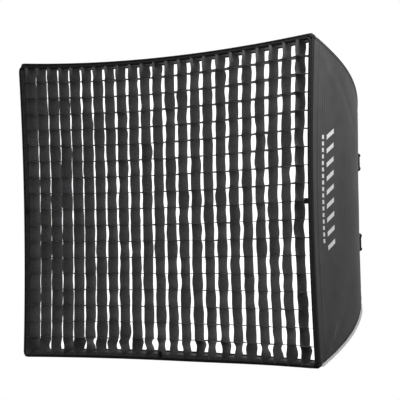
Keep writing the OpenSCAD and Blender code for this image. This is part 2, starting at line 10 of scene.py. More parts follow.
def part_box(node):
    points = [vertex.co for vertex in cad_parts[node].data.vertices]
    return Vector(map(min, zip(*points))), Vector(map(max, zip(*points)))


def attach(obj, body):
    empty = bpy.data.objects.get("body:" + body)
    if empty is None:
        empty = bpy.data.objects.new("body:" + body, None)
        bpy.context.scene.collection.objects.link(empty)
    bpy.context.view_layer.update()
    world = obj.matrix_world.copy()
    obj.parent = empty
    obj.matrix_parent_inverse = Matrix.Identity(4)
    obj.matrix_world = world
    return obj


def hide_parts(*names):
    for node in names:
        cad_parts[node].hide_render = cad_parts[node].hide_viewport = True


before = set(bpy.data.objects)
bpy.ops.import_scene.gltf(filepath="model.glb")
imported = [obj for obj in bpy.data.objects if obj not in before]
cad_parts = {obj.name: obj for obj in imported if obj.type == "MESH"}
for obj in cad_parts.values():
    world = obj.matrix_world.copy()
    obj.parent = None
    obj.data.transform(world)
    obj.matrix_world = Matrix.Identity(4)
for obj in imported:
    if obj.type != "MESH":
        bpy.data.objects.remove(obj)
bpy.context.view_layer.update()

# ---------------------------------------------------------------- sizes shared with the CAD

MM = 0.001
ROD_X, ROD_Z = 602 * MM, 449.5 * MM          # rod centre lines at the front corners
FRONT_Y = -479 * MM                          # plane of the front corners
MOUTH_D, TAPER = 460 * MM, 272 * MM          # where the rods enter their sockets
FRONT_ANGLE, REAR_ANGLE = math.radians(16.8), math.radians(64)
FRONT_PULL, REAR_PULL = 262 * MM, 155 * MM
BOW = {"top": 24 * MM, "bottom": 8 * MM, "left": 14 * MM, "right": 14 * MM}
BOW_MID = 19 * MM
SIDES = ("top", "bottom", "left", "right")
CORNERS = ("tl", "tr", "bl", "br")
COLS, ROWS = 24, 18
BORDER_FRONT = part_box("grid_border")[0].y
STRIP_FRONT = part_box("grid_lattice")[0].y
STRIP_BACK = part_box("grid_lattice")[1].y
PITCH_X, PITCH_Z = 51.7 * MM, 49.6 * MM      # spacing of the grid's strips
CELL_INSET = 14 * MM
WALL_END = 0.995                             # place on the rod curve where the walls' cloth ends
GRID_X, GRID_Z = ROD_X - CELL_INSET, ROD_Z - CELL_INSET
BAFFLE_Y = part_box("baffle_cloth")[0].y
DIFFUSER_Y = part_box("diffuser_cloth")[0].y

HANDLE_1 = np.array([math.cos(FRONT_ANGLE), math.sin(FRONT_ANGLE)]) * FRONT_PULL
CURVE_END = np.array([MOUTH_D, TAPER])
HANDLE_2 = CURVE_END - np.array([math.cos(REAR_ANGLE), math.sin(REAR_ANGLE)]) * REAR_PULL


def curve(t):
    """Depth behind the front corners and inward travel of a rod, for t from 0 to 1."""
    t = np.asarray(t, float)
    a, b, c = 3 * (1 - t) ** 2 * t, 3 * (1 - t) * t ** 2, t ** 3
    return (a * HANDLE_1[0] + b * HANDLE_2[0] + c * CURVE_END[0],
            a * HANDLE_1[1] + b * HANDLE_2[1] + c * CURVE_END[1])


def slope(t):
    t = np.asarray(t, float)
    a, b, c = 3 * (1 - t) ** 2, 6 * (1 - t) * t, 3 * t ** 2
    d = [a * HANDLE_1[k] + b * (HANDLE_2 - HANDLE_1)[k] + c * (CURVE_END - HANDLE_2)[k] for k in (0, 1)]
    return np.arctan2(d[1], d[0])


T_TABLE = np.linspace(-0.05, 1, 2000)
D_TABLE = curve(T_TABLE)[0]


def t_at(depth):
    return np.interp(depth, D_TABLE, T_TABLE)


def wall_bow(depth, front):
    s = np.clip(depth / MOUTH_D, 0, 1)
    return front * (1 - s) ** 2 + 4 * BOW_MID * s * (1 - s) ** 2


def inward(depth):
    """How far the rods have come in at some depth."""
    return float(curve(t_at(depth))[1])


def bows_at(depth):
    """Bow of the top, bottom and side edges of the box's section at some depth."""
    return [wall_bow(depth, BOW[side]) for side in ("top", "bottom", "right")]


def turn(side, p):
    """Turns points made for the top wall onto another side."""
    x, y, z = p[..., 0], p[..., 1], p[..., 2]
    if side == "top":
        return p
    if side == "bottom":
        return np.stack([-x, y, -z], -1)
    if side == "right":
        return np.stack([z, y, -x], -1)
    return np.stack([-z, y, x], -1)


def halves(side):
    return (ROD_X, ROD_Z) if side in ("top", "bottom") else (ROD_Z, ROD_X)


def ripple(x, y, scale, seed, waves=9):
    """Smooth random relief, about -1 to 1, as a sum of plane waves."""
    rng = np.random.default_rng(seed)
    total = 0.0
    for _ in range(waves):
        angle, size, phase = rng.uniform(0, 2 * math.pi), rng.uniform(0.7, 1.6), rng.uniform(0, 2 * math.pi)
        k = 2 * math.pi / (scale * size)
        total = total + np.sin(k * (x * math.cos(angle) + y * math.sin(angle)) + phase)
    return total / math.sqrt(2 * waves)


def smooth(x, lo, hi):
    s = np.clip((x - lo) / (hi - lo), 0, 1)
    return s * s * (3 - 2 * s)


def crease(x, d, start, end, height, width):
    """A soft fold along a line on a wall, dying out at both ends."""
    ax, ad = start
    bx, bd = end
    length = math.hypot(bx - ax, bd - ad)
    along = ((x - ax) * (bx - ax) + (d - ad) * (bd - ad)) / length ** 2
    beside = ((x - ax) * (bd - ad) - (d - ad) * (bx - ax)) / length
    span = smooth(along, -0.15, 0.3) * smooth(-along, -1.2, -0.6)
    return height * span * np.exp(-(beside / width) ** 2)


# Folds of each wall: (start, end) as (across, depth), then height and half width
CREASES = {
    "right": [((0.43, 0.035), (0.345, 0.125), 0.0052, 0.009), ((0.435, 0.06), (0.30, 0.21), -0.0022, 0.012),
              ((-0.42, 0.04), (-0.28, 0.20), 0.0014, 0.016), ((-0.36, 0.16), (-0.20, 0.33), -0.0015, 0.014)],
    "left": [((0.43, 0.05), (0.33, 0.15), 0.0018, 0.010), ((-0.43, 0.05), (-0.31, 0.19), 0.0018, 0.012)],
    "top": [((0.57, 0.05), (0.44, 0.16), 0.0018, 0.011), ((-0.57, 0.05), (-0.42, 0.18), 0.0018, 0.013)],
    "bottom": [((0.57, 0.05), (0.45, 0.17), 0.0018, 0.012), ((-0.57, 0.05), (-0.43, 0.15), 0.0018, 0.011)],
}


def wall_wave(side, t, v):
    """Relief of one wall's stretched cloth: slow sag, soft streaks behind the rim, folds at the corners."""
    across = halves(side)[0]
    d, w = curve(t)
    x = v * (across - w)
    seed = 11 * SIDES.index(side) + 3
    held = smooth(1 - np.abs(v), 0.0, 0.12) * smooth(d, 0.05, 0.14) * smooth(-d, -0.46, -0.38)
    relief = 0.0013 * held * ripple(x, d, 0.17, seed)
    band = np.exp(-((d - 0.055) / 0.042) ** 2) * smooth(1 - np.abs(v), 0.02, 0.2)
    streaks = (np.sin(2 * math.pi * d / 0.0125 + 3.6 * ripple(x * 0.5, d, 0.10, seed + 1))
               * (0.5 + 0.6 * ripple(x, d, 0.06, seed + 4)))
    upper = 0.35 + 0.65 * smooth(-v if side == "right" else v, 0.1, 0.8)
    relief = relief + 0.00045 * band * upper * (1 + streaks)
    fan = smooth(np.abs(v), 0.72, 0.98) * smooth(1 - np.abs(v), 0.0, 0.05) * smooth(d, 0.05, 0.12)
    relief = relief + 0.0005 * fan * ripple(x * 2.5, d, 0.05, seed + 2)
    for start, end, height, width in CREASES[side]:
        relief = relief + crease(x, d, start, end, height, width) * smooth(1 - np.abs(v), 0.0, 0.06)
    return relief


def wall(side, t, v, off, edge=0.0, wave=1.0):
    """Points on a wall: t runs back along the rods, v across from -1 to 1, off is square to the wall."""
    across, up = halves(side)
    t, v = np.asarray(t, float), np.asarray(v, float)
    d, w = curve(t)
    a = slope(t)
    x = v * (across - w - edge)
    off = off + wave * wall_wave(side, t, x / (across - w))
    y = FRONT_Y + d + off * np.sin(a)
    z = up - w - wall_bow(d, BOW[side]) * (1 - v * v) + off * np.cos(a)
    return turn(side, np.stack(np.broadcast_arrays(x, y, z), -1))


def warp(u, v, half_x, half_z, bt, bb, bs):
    """A point of a bowed rectangle across the box; u and v run from -1 to 1."""
    low = -half_z + bb * (1 - u * u)
    high = half_z - bt * (1 - u * u)
    return u * (half_x - bs * (1 - v * v)), low + (v + 1) / 2 * (high - low)


def front_warp(u, v, inset, depth=0.0):
    """The rod line's bowed outline at some depth, moved in by inset."""
    w = inward(depth)
    return warp(u, v, ROD_X - w - inset, ROD_Z - w - inset, *bows_at(depth))


# ---------------------------------------------------------------- mesh helpers

def new_object(name, shape, material, body, slot, replaces=(), sharp=42):
    """A piece from its (vertices, faces), smooth below the sharp angle, riding on a body."""
    verts, faces = shape
    mesh = bpy.data.meshes.new(name)
    mesh.from_pydata([tuple(map(float, p)) for p in verts], [], [tuple(map(int, f)) for f in faces])
    mesh.validate()
    form = bmesh.new()
    form.from_mesh(mesh)
    bmesh.ops.recalc_face_normals(form, faces=form.faces)
    form.to_mesh(mesh)
    form.free()
    mesh.polygons.foreach_set("use_smooth", [True] * len(mesh.polygons))
    mesh.set_sharp_from_angle(angle=math.radians(sharp))
    obj = bpy.data.objects.new(name, mesh)
    bpy.context.scene.collection.objects.link(obj)
    obj.data.materials.append(material)
    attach(obj, body)
    if replaces:
        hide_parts(*replaces)
    return obj


class Build:
    """Collects vertices and faces of one piece made of several shells."""

    def __init__(self):
        self.verts, self.faces, self.count = [], [], 0

    def add(self, verts, faces):
        verts = np.asarray(verts, float).reshape(-1, 3)
        self.verts.append(verts)
        self.faces.extend([[i + self.count for i in f] for f in faces])
        self.count += len(verts)

    def shape(self):
        return np.concatenate(self.verts), self.faces

    def object(self, name, material, body, slot, **kw):
        return new_object(name, self.shape(), material, body, slot, **kw)


def grid_normals(p, loop_u=False):
    """Unit normals of a grid of points, from its own differences."""
    du = np.gradient(p, axis=0)
    if loop_u:
        du = (np.roll(p, -1, 0) - np.roll(p, 1, 0)) / 2
    dv = np.gradient(p, axis=1)
    n = np.cross(du, dv)
    return n / np.maximum(np.linalg.norm(n, axis=-1, keepdims=True), 1e-12)


def skin_faces(nu, nv, loop_u=False, flip=False):
    """Faces of two layers of nu by nv points, and of the rim between them."""
    layer = nu * nv
    rows = [(k * nv, (k + 1) % nu * nv) for k in range(nu if loop_u else nu - 1)]
    outer = np.array([[k + j, m + j, m + j + 1, k + j + 1] for k, m in rows for j in range(nv - 1)])
    rim = []
    for k, m in rows:
        a, b = k + nv - 1, m + nv - 1
        rim += [[k, k + layer, m + layer, m], [a, b, b + layer, a + layer]]
    if not loop_u:
        last = layer - nv
        for j in range(nv - 1):
            rim += [[j, j + 1, j + 1 + layer, j + layer],
                    [last + j, last + j + layer, last + j + 1 + layer, last + j + 1]]
    faces = outer.tolist() + (outer[:, ::-1] + layer).tolist() + rim
    return [f[::-1] for f in faces] if flip else faces


def slab(p, thick, loop_u=False, flip=False):
    """A closed thin sheet on a grid of points: two layers and a rim. p is the outer layer."""
    n = grid_normals(p, loop_u) * (-1 if flip else 1)
    verts = np.concatenate([p.reshape(-1, 3), (p - n * thick).reshape(-1, 3)])
    return verts, skin_faces(*p.shape[:2], loop_u, flip)


def tube(centres, radius, sides=12, closed=False, profile=None):
    """A round or shaped bar along a line of points. profile gives (across, up) offsets instead of a circle."""
    c = np.asarray(centres, float)
    n = len(c)
    tangent = np.roll(c, -1, 0) - np.roll(c, 1, 0) if closed else np.gradient(c, axis=0)
    tangent /= np.linalg.norm(tangent, axis=1, keepdims=True)
    ref = np.array([0.0, 1.0, 0.0]) if abs(tangent[0][1]) < 0.9 else np.array([1.0, 0.0, 0.0])
    side = np.cross(tangent, ref)
    side /= np.linalg.norm(side, axis=1, keepdims=True)
    up = np.cross(side, tangent)
    r = np.broadcast_to(np.asarray(radius, float), (n,))
    if profile is None:
        angle = 2 * math.pi * np.arange(sides) / sides
        profile = np.stack([np.cos(angle), np.sin(angle)], 1)
    m = len(profile)
    offsets = side[:, None] * profile[None, :, :1] + up[:, None] * profile[None, :, 1:]
    ring = c[:, None] + r[:, None, None] * offsets
    rings = [(i * m, (i + 1) % n * m) for i in range(n if closed else n - 1)]
    faces = [[a + j, a + (j + 1) % m, b + (j + 1) % m, b + j] for a, b in rings for j in range(m)]
    if not closed:
        faces += [list(range(m))[::-1], [(n - 1) * m + j for j in range(m)]]
    return ring.reshape(-1, 3), faces


STITCH_FACES = [[0, 1, 3, 2], [2, 3, 5, 4], [4, 5, 7, 6], [8, 9, 1, 0], [6, 7, 11, 10], [10, 11, 9, 8],
                [8, 0, 2, 4, 6, 10], [1, 9, 11, 7, 5, 3]]


def stitch_row(build, points, normals, pitch=0.0042, length=0.0029, width=0.0006, lift=0.0004):
    """Short thread stitches along a line that lies on a surface."""
    p = np.asarray(points, float)
    nrm = np.asarray(normals, float)
    seg = np.linalg.norm(np.diff(p, axis=0), axis=1)
    run = np.concatenate([[0], np.cumsum(seg)])
    at = np.arange(pitch, run[-1] - pitch, pitch)
    mid = np.stack([np.interp(at, run, p[:, k]) for k in range(3)], 1)
    ahead = np.stack([np.interp(at + 0.001, run, p[:, k]) for k in range(3)], 1)
    up = np.stack([np.interp(at, run, nrm[:, k]) for k in range(3)], 1)
    along = ahead - mid
    along /= np.linalg.norm(along, axis=1, keepdims=True)
    up /= np.linalg.norm(up, axis=1, keepdims=True)
    side = np.cross(along, up)
    sunk = -0.0003          # how deep a stitch's ends go into the cloth
    section = ((-0.5, 0.0), (-0.28, lift), (0.28, lift), (0.5, 0.0), (-0.5, sunk), (0.5, sunk))
    for m, a, u, s in zip(mid, along, up, side):
        corners = [m + a * end * length + s * k * width + u * rise
                   for end, rise in section for k in (-0.5, 0.5)]
        build.add(corners, STITCH_FACES)


def field(p, scale, seed):
    """Smooth noise at each point of a grid, about -1 to 1."""
    falloff, gap, octaves = 0.9, 2.1, 2
    points = p.reshape(-1, 3) / scale + seed * np.array([7.31, -3.17, 1.93])
    return np.array([noise.fractal(Vector(q), falloff, gap, octaves) for q in points]).reshape(p.shape[:-1])


# ---------------------------------------------------------------- materials

def principled(name, color, roughness, **sockets):
    mat = bpy.data.materials.new(name)
    mat.use_nodes = True
    tree = mat.node_tree
    shader = tree.nodes["Principled BSDF"]
    shader.inputs["Base Color"].default_value = (*color, 1)
    shader.inputs["Roughness"].default_value = roughness
    for key, value in sockets.items():
        shader.inputs[key.replace("_", " ")].default_value = value
    return mat, tree, shader


def link(tree, a, b):
    tree.links.new(a, b)


def add_node(tree, kind, **inputs):
    """A shader node whose inputs are set to values or linked to sockets."""
    node = tree.nodes.new("ShaderNode" + kind)
    for key, value in inputs.items():
        socket = node.inputs[key.replace("_", " ")]
        if isinstance(value, bpy.types.NodeSocket):
            link(tree, value, socket)
        else:
            socket.default_value = value
    return node


def coords(tree):
    return tree.nodes.new("ShaderNodeTexCoord").outputs["Object"]


def noise_node(tree, scale, detail=3.0, rough=0.55, vector=None):
    vector = coords(tree) if vector is None else vector
    node = add_node(tree, "TexNoise", Scale=scale, Detail=detail, Roughness=rough, Vector=vector)
    return node.outputs["Fac"]


def stretch(tree, scale):
    return add_node(tree, "Mapping", Scale=scale, Vector=coords(tree)).outputs["Vector"]


def math_node(tree, op, a, b):
    node = tree.nodes.new("ShaderNodeMath")
    node.operation = op
    for k, value in enumerate((a, b)):
        if isinstance(value, (int, float)):
            node.inputs[k].default_value = value
        else:
            link(tree, value, node.inputs[k])
    return node.outputs[0]


def ramp(tree, fac, low, high, at=(0.3, 0.7)):
    node = tree.nodes.new("ShaderNodeValToRGB")
    node.color_ramp.elements[0].position, node.color_ramp.elements[1].position = at
    node.color_ramp.elements[0].color = (*low, 1)
    node.color_ramp.elements[1].color = (*high, 1)
    link(tree, fac, node.inputs["Fac"])
    return node.outputs["Color"]


def bump(tree, height, strength, distance, shader, under=None):
    node = add_node(tree, "Bump", Strength=strength, Distance=distance, Height=height)
    if under is not None:
        link(tree, under, node.inputs["Normal"])
    link(tree, node.outputs["Normal"], shader.inputs["Normal"])
    return node.outputs["Normal"]


WAVE_UNIT = 20          # Blender's wave texture turns its coordinate into radians with this factor


def weave(tree, pitch, directions):
    """Thread relief: one wave for each thread direction, in the part's own axes."""
    total = None
    for direction in directions:
        turned = add_node(tree, "Mapping", Rotation=direction, Vector=coords(tree)).outputs["Vector"]
        node = add_node(tree, "TexWave", Scale=2 * math.pi / (WAVE_UNIT * pitch), Distortion=0.6, Detail=1.0,
                        Vector=turned)
        node.wave_type, node.bands_direction = "BANDS", "X"
        total = node.outputs["Fac"] if total is None else math_node(tree, "ADD", total, node.outputs["Fac"])
    return total


# Turns that bring a thread direction onto the wave's X axis
ALONG_X = (0.0, 0.0, 0.0)
ALONG_Z = (0.0, math.radians(90), 0.0)
DIAGONAL = (0.0, 0.0, math.radians(-45))


def fabric(name, dark, light, roughness, pitch, depth, tint=0.002, mottle=90.0, folds=0.0, sheen=0.1):
    """Woven cloth between two greys, tinted blue: thread relief, small creases and a slow colour mottle."""
    dark, light = (dark, dark, dark + tint), (light, light, light + tint)
    mat, tree, shader = principled(name, dark, roughness, Sheen_Weight=sheen, Sheen_Roughness=0.45)
    shader.inputs["Specular IOR Level"].default_value = 0.35
    tone = noise_node(tree, mottle, 4.0, 0.6)
    link(tree, ramp(tree, tone, dark, light), shader.inputs["Base Color"])
    relief = bump(tree, weave(tree, pitch, (DIAGONAL, ALONG_Z)), 0.5, depth, shader)
    if folds:
        bump(tree, noise_node(tree, 38.0, 3.0, 0.5), 0.6, folds, shader, relief)
    return mat


def metal(name, color, roughness, metallic, grain=(400.0, 30.0, 30.0), relief=0.00004, edge=None):
    """Coated or plated metal: fine grain, handling marks and brighter worn edges."""
    mat, tree, shader = principled(name, color, roughness, Metallic=metallic)
    marks = noise_node(tree, 60.0, 6.0, 0.65)
    low = tuple(c * 0.75 for c in color)
    high = tuple(min(1.0, c * 1.35 + 0.004) for c in color)
    tone = ramp(tree, marks, low, high)
    if edge:
        bevel = add_node(tree, "Bevel", Radius=0.0012)
        geometry = tree.nodes.new("ShaderNodeNewGeometry")
        dot = tree.nodes.new("ShaderNodeVectorMath")
        dot.operation = "DOT_PRODUCT"
        link(tree, bevel.outputs["Normal"], dot.inputs[0])
        link(tree, geometry.outputs["Normal"], dot.inputs[1])
        worn = ramp(tree, dot.outputs["Value"], (1, 1, 1), (0, 0, 0), (0.86, 0.97))
        mix = tree.nodes.new("ShaderNodeMix")
        mix.data_type = "RGBA"
        link(tree, worn, mix.inputs["Factor"])
        link(tree, tone, mix.inputs["A"])
        mix.inputs["B"].default_value = (*edge, 1)
        tone = mix.outputs["Result"]
    link(tree, tone, shader.inputs["Base Color"])
    rough = add_node(tree, "MapRange", To_Min=max(0.05, roughness - 0.1), To_Max=roughness + 0.12, Value=marks)
    link(tree, rough.outputs["Result"], shader.inputs["Roughness"])
    bump(tree, noise_node(tree, 1.0, 4.0, 0.6, stretch(tree, grain)), 0.4, relief, shader)
    return mat


NYLON = fabric("shell_nylon", 0.036, 0.052, 0.62, 0.0007, 0.00005, mottle=22.0, folds=0.0008, sheen=0.12)
WEBBING = fabric("webbing", 0.007, 0.013, 0.75, 0.0016, 0.00022, tint=0.001, sheen=0.03)
LOOP = fabric("loop_tape", 0.011, 0.022, 0.9, 0.0010, 0.0003, tint=0.001, mottle=700.0, sheen=0.25)
STRIP = fabric("grid_strip", 0.032, 0.064, 0.7, 0.0010, 0.00012, mottle=140.0, folds=0.0011)
# grid border band: the strips' nylon given a lighter grey, painted light for the light its ledge catches
BORDER_PAINTED_LIGHT = fabric("grid_border", 0.062, 0.098, 0.7, 0.0010, 0.00012, mottle=140.0)
THREAD = fabric("thread", 0.018, 0.035, 0.55, 0.0004, 0.00006, tint=0.001, sheen=0.2)
# light grey seam piping: painted sheen, the bottom seams' grazing reflection of the floor put into the cloth's
# colour
PIPING_PAINTED_SHEEN = fabric("seam_piping", 0.42, 0.55, 0.5, 0.0009, 0.0001, tint=0.01)
PRINT = fabric("white_print", 0.80, 0.86, 0.5, 0.0007, 0.00004, tint=0.0, sheen=0.0)
FRAME_BLACK = metal("frame_black", (0.016, 0.016, 0.017), 0.42, 0.0, edge=(0.11, 0.11, 0.115))
STEEL = metal("plated_steel", (0.55, 0.55, 0.57), 0.3, 1.0)
ROD_STEEL = metal("rod_steel", (0.33, 0.33, 0.34), 0.34, 1.0, grain=(60.0, 900.0, 60.0))
SLEEVE = fabric("sleeve_webbing", 0.034, 0.048, 0.65, 0.0012, 0.0001)
RUBBER = metal("rod_tip_rubber", (0.012, 0.012, 0.012), 0.75, 0.0, grain=(200.0, 200.0, 200.0), relief=0.00008)


def silver_cloth():
    """Silver-coated nylon: bright, crinkled, with a fine thread under the coat."""
    mat, tree, shader = principled("silver_lining", (0.68, 0.69, 0.71), 0.34, Metallic=0.75)
    tone = noise_node(tree, 45.0, 5.0, 0.6)
    link(tree, ramp(tree, tone, (0.55, 0.56, 0.58), (0.74, 0.75, 0.77)), shader.inputs["Base Color"])
    threads = bump(tree, weave(tree, 0.0008, (DIAGONAL, ALONG_Z)), 0.4, 0.00005, shader)
    crinkle = add_node(tree, "TexVoronoi", Scale=95.0, Randomness=1.0, Vector=coords(tree))
    crinkle.feature = "SMOOTH_F1"
    bump(tree, crinkle.outputs["Distance"], 0.45, 0.0011, shader, threads)
    return mat


def glowing_cloth(name, strength):
    """Translucent white diffusion cloth with the lamp's light behind it."""
    color = (0.86, 0.86, 0.85)
    mat, tree, shader = principled(name, color, 0.8, Sheen_Weight=0.1)
    shader.inputs["Emission Color"].default_value = (1.0, 1.0, 1.0, 1)
    shader.inputs["Emission Strength"].default_value = strength
    tone = noise_node(tree, 30.0, 4.0, 0.6)
    link(tree, ramp(tree, tone, tuple(0.95 * c for c in color), color), shader.inputs["Base Color"])
    bump(tree, weave(tree, 0.0006, (ALONG_X, ALONG_Z)), 0.4, 0.00006, shader)
    return mat


SILVER = silver_cloth()
LIT_CLOTH = glowing_cloth("lit_diffuser", 1.25)
BAFFLE_CLOTH = glowing_cloth("inner_baffle_cloth", 0.25)


# ---------------------------------------------------------------- camera and light

CAMERA_AT = (4.3616, -4.7233, -0.0751)
CAMERA_TURN = (44.663, 0.836, -1.055)           # yaw to the left, pitch up and roll, in degrees
LENS = 187.57
SKY_LOW, SKY_HIGH = 0.06, 0.33                  # strength of the studio's light from below and from above
FLOOR_Z, FLOOR_REACH, FLOOR_GLOW = -2.1, 6.0, 0.5


def make_camera():
    """The camera: front right, level with the box's middle."""
    yaw, pitch, roll = (math.radians(angle) for angle in CAMERA_TURN)
    right = Vector((math.cos(yaw), math.sin(yaw), 0))
    forward = Vector((-math.sin(yaw) * math.cos(pitch), math.cos(yaw) * math.cos(pitch), math.sin(pitch)))
    up = right.cross(forward)
    cam_right = right * math.cos(roll) + up * math.sin(roll)
    cam_up = -right * math.sin(roll) + up * math.cos(roll)
    data = bpy.data.cameras.new("camera")
    data.sensor_width = 36.0
    data.lens = LENS
    data.clip_start, data.clip_end = 0.05, 200.0
    camera = bpy.data.objects.new("camera", data)
    bpy.context.scene.collection.objects.link(camera)
    turned = Matrix((cam_right, cam_up, -forward)).transposed().to_4x4()
    camera.matrix_world = Matrix.Translation(CAMERA_AT) @ turned
    bpy.context.scene.camera = camera


def area_light(name, place, target, size, power):
    data = bpy.data.lights.new(name, "AREA")
    data.shape = "RECTANGLE"
    data.size, data.size_y = size
    data.energy = power
    light = bpy.data.objects.new(name, data)
    bpy.context.scene.collection.objects.link(light)
    light.location = place
    light.rotation_mode = "QUATERNION"
    light.rotation_quaternion = (Vector(target) - Vector(place)).to_track_quat("-Z", "Y")


def make_world():
    """A white studio with even light that is stronger from above."""
    world = bpy.data.worlds.new("studio")
    bpy.context.scene.world = world
    world.use_nodes = True
    tree = world.node_tree
    background = tree.nodes["Background"]
    background.inputs["Color"].default_value = (1, 1, 1, 1)
    split = add_node(tree, "SeparateXYZ", Vector=add_node(tree, "TexCoord").outputs["Generated"])
    height = add_node(tree, "MapRange", From_Min=-1.0, From_Max=1.0, To_Min=SKY_LOW, To_Max=SKY_HIGH,
                      Value=split.outputs["Z"])
    seen = add_node(tree, "LightPath").outputs["Is Camera Ray"]
    link(tree, math_node(tree, "MAXIMUM", seen, height.outputs["Result"]), background.inputs["Strength"])


def make_floor():
    """A pale floor that glows a little and casts no light on the box."""
    mesh = bpy.data.meshes.new("floor")
    corners = ((-1, -1), (1, -1), (1, 1), (-1, 1))
    mesh.from_pydata([(x * FLOOR_REACH, y * FLOOR_REACH, FLOOR_Z) for x, y in corners], [], [(0, 1, 2, 3)])
    floor = bpy.data.objects.new("floor", mesh)
    bpy.context.scene.collection.objects.link(floor)
    mat, tree, shader = principled("floor_paint", (0.83, 0.83, 0.83), 0.7)
    tone = noise_node(tree, 3.0, 2.0)
    link(tree, ramp(tree, tone, (0.80, 0.80, 0.80), (0.85, 0.85, 0.85)), shader.inputs["Base Color"])
    shader.inputs["Emission Color"].default_value = (1, 1, 1, 1)
    shader.inputs["Emission Strength"].default_value = FLOOR_GLOW
    mesh.materials.append(mat)
    floor.visible_diffuse = floor.visible_glossy = False


def make_stage():
    bpy.context.scene.view_settings.view_transform = "Standard"
    make_world()
    make_floor()
    area_light("key", (1.18, -0.5, 1.05), (0.5, -0.25, 0.15), (0.45, 0.45), 18)
    area_light("front", (2.6, -3.4, 3.0), (0.2, -0.4, 0.2), (2.0, 2.0), 26)


# ---------------------------------------------------------------- fabric shell

# The tape bound round the front edge, in section: (depth, offset) in millimetres
NOSE = [(9.0, 6.2), (8.6, 6.8), (6.8, 7.0), (4.5, 7.0), (2.0, 6.9), (0.3, 6.3), (-1.3, 5.2), (-1.9, 3.7),
        (-1.4, 2.2), (-0.2, 1.0), (1.5, 0.5), (4.5, 0.4)]
PANEL_OFF, LINING_OFF, HEM_OFF = 0.0054, 0.0036, 0.0026     # outer faces, out from the rods' centre lines
PANEL_T, LINING_T, HEM_T, TAPE_T = 0.0007, 0.0004, 0.0018, 0.0009
HEM_DEPTHS = (0.0045, 0.045)                                # front and rear edge of the loop-faced hem
RIM_STITCHES = ((0.0385, 0.0056), (0.0432, 0.0056), (0.0072, 0.0070))       # (depth, offset) of each row
SEAM_STITCHES, SEAM_STITCH_OFF = (-0.974, 0.974), 0.0056    # rows beside the rods: places across, offset
BINDING_EDGE, HEM_EDGE = 0.0075, 0.010                      # how far these end short of the corners
HOOK_OFF, HOOK_T, HOOK_EDGE = -0.0012, 0.0013, 0.012


def wall_line(side, t, v, off):
    """A line on a wall and its normals, for stitching."""
    p = wall(side, t, v, off)
    return p, (wall(side, t, v, off + MM) - p) / MM


def band_on(side, d0, d1, off, thick, edge, rows=8, cols=130, v0=-1.0, v1=1.0, relief=0.0001,
            seed=1):
    """A tape lying along a wall between two depths."""
    t = t_at(np.linspace(d0, d1, rows))[:, None]
    v = np.linspace(v0, v1, cols)[None, :]
    x = v * halves(side)[0]
    d = np.linspace(d0, d1, rows)[:, None]
    return slab(wall(side, t, v, off + relief * ripple(x, d, 0.05, seed), edge), thick, flip=True)


def make_hook_band(name, body, d0, d1, replaced, seed):
    """Hook tape behind the edge of a piece that peels off the shell's hem."""
    tape = Build()
    for side in SIDES:
        tape.add(*band_on(side, d0, d1, HOOK_OFF, HOOK_T, HOOK_EDGE, seed=seed))
    return tape.object(name, LOOP, body, "black_webbing", replaces=(replaced,))


def make_shell():
    for side in SIDES:
        cols = 190 if side in ("top", "bottom") else 150
        t = np.concatenate([t_at(np.linspace(0.0, 0.11, 56)), np.linspace(t_at(0.113), WALL_END, 74)])[:, None]
        v = np.linspace(-1, 1, cols)[None, :]
        d = curve(t)[0]
        seam = 0.0004 * np.exp(-((d - 0.046) / 0.0016) ** 2) - 0.0003 * np.exp(-((d - 0.041) / 0.0012) ** 2)
        edge = 0.0045 + 0.007 * np.clip(t, 0, 1) ** 4
        shape = slab(wall(side, t, v, PANEL_OFF + seam, edge), PANEL_T, flip=True)
        panel = new_object("shell_panel_" + side, shape, NYLON, "shell", "shell_nylon",
                           replaces=("shell_" + side,))

        stitching = Build()
        for depth, off in RIM_STITCHES:
            rim = wall_line(side, t_at(np.full(400, depth)), np.linspace(-0.985, 0.985, 400), off)
            stitch_row(stitching, *rim)
        for place in SEAM_STITCHES:
            run = t_at(np.linspace(0.05, 0.44, 240))
            stitch_row(stitching, *wall_line(side, run, np.full(240, place), SEAM_STITCH_OFF))
        stitches = stitching.object("shell_stitches_" + side, THREAD, "shell", "black_webbing")

        path = np.array(NOSE) * MM
        grid = wall(side, t_at(path[:, :1]), np.linspace(-1, 1, 160)[None, :], path[:, 1:], BINDING_EDGE)
        binding = new_object("front_binding_" + side, slab(grid, TAPE_T, flip=True), WEBBING, "shell",
                             "black_webbing")
        tape = band_on(side, *HEM_DEPTHS, HEM_OFF, HEM_T, HEM_EDGE, rows=14, cols=150, relief=0.00015,
                       seed=31 + len(side))
        hem = new_object("front_hem_tape_" + side, tape, LOOP, "shell", "loop_webbing",
                         replaces=("front_hem_" + side,))
        make_lining(side)


def make_lining(side):
    """Silver lining: the same wall, with its own fine crinkle."""
    across = halves(side)[0]
    cols = 230 if side in ("top", "bottom") else 180
    t = np.linspace(t_at(0.006), WALL_END, 120)[:, None]
    v = np.linspace(-1, 1, cols)[None, :]
    d, w = curve(t)
    x = v * (across - w)
    flat = np.stack(np.broadcast_arrays(x, d, 0 * x), -1)
    sharp = np.abs(field(flat, 0.020, 50 + SIDES.index(side))) - 0.35
    held = smooth(1 - np.abs(v), 0, 0.05) * smooth(d, 0.045, 0.07) * smooth(-d, -0.455, -0.43)
    off = LINING_OFF + 0.0011 * held * np.minimum(sharp, 0.3)
    shape = slab(wall(side, t, v, off, 0.006 + 0.007 * t ** 4), LINING_T, flip=True)
    lining = new_object("silver_lining_" + side, shape, SILVER, "shell", "silver_lining",
                        replaces=("lining_" + side,))


# ---------------------------------------------------------------- rods, sleeves and corner pockets

SIGN = {"tl": (-1, 1), "tr": (1, 1), "bl": (-1, -1), "br": (1, -1)}
ACROSS = np.array([1, 0, -1]) / math.sqrt(2)
ROD_R, FERRULE_IN = 2.75 * MM, 24 * MM
SLEEVE_R, SLEEVE_T = 5.4 * MM, 1.1 * MM


